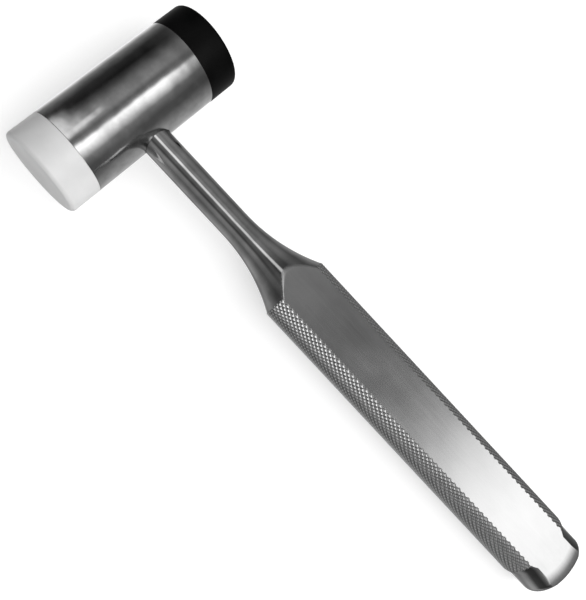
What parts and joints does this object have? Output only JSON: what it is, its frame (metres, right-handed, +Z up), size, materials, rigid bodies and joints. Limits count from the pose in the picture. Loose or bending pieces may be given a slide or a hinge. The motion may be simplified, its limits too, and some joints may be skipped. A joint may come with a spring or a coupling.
{
  "type": "bone mallet",
  "caption": "Steel bone mallet: round barrel head with screw-in white and black plastic striking faces, and a knurled grip with two flats.",
  "frame": {"origin": "on the bench, at the middle of the mallet's base as it lies on its side", "axes": "+X along the handle from the head to the butt, +Y along the head from the white face to the black face, +Z up from the bench; the handle slopes down 1.66 degrees from the head, so that its end touches the bench"},
  "size_m": [0.1834, 0.058, 0.025],
  "materials": {
    "polished_steel": "mirror-polished stainless steel barrel",
    "handle_steel": "turned stainless steel, diamond-knurled grip, satin flats",
    "white_nylon": "milky white nylon, smooth",
    "black_plastic": "hard black plastic, smooth",
    "plain_steel": "bright machined stainless steel",
    "seal_rubber": "black rubber"
  },
  "bodies": {
    "mallet": {"head_barrel": "polished_steel", "handle": "handle_steel", "tenon_lock_screw": "plain_steel"},
    "white_seal_ring": {"white_face_seal": "seal_rubber"},
    "white_striker": {"white_face": "white_nylon", "white_face_stud": "plain_steel"},
    "black_seal_ring": {"black_face_seal": "seal_rubber"},
    "black_striker": {"black_face": "black_plastic", "black_face_stud": "plain_steel"}
  },
  "joints": [
    {"name": "white_face_travel", "type": "slide", "parent": "mallet", "child": "white_seal_ring", "axis": [0, -1, 0], "range_m": [0, 0.0105]},
    {"name": "white_face_turn", "type": "hinge", "parent": "white_seal_ring", "child": "white_striker", "pos_m": [-0.07917, 0, 0.0125], "axis": [0, -1, 0], "range_deg": [0, 2520]},
    {"name": "black_face_travel", "type": "slide", "parent": "mallet", "child": "black_seal_ring", "axis": [0, 1, 0], "range_m": [0, 0.0105]},
    {"name": "black_face_turn", "type": "hinge", "parent": "black_seal_ring", "child": "black_striker", "pos_m": [-0.07917, 0, 0.0125], "axis": [0, 1, 0], "range_deg": [0, 2520]}
  ],
  "couplings": [
    {"joint": "white_face_turn", "follows": "white_face_travel", "rad_per_m": 4188.8},
    {"joint": "black_face_turn", "follows": "black_face_travel", "rad_per_m": 4188.8}
  ]
}
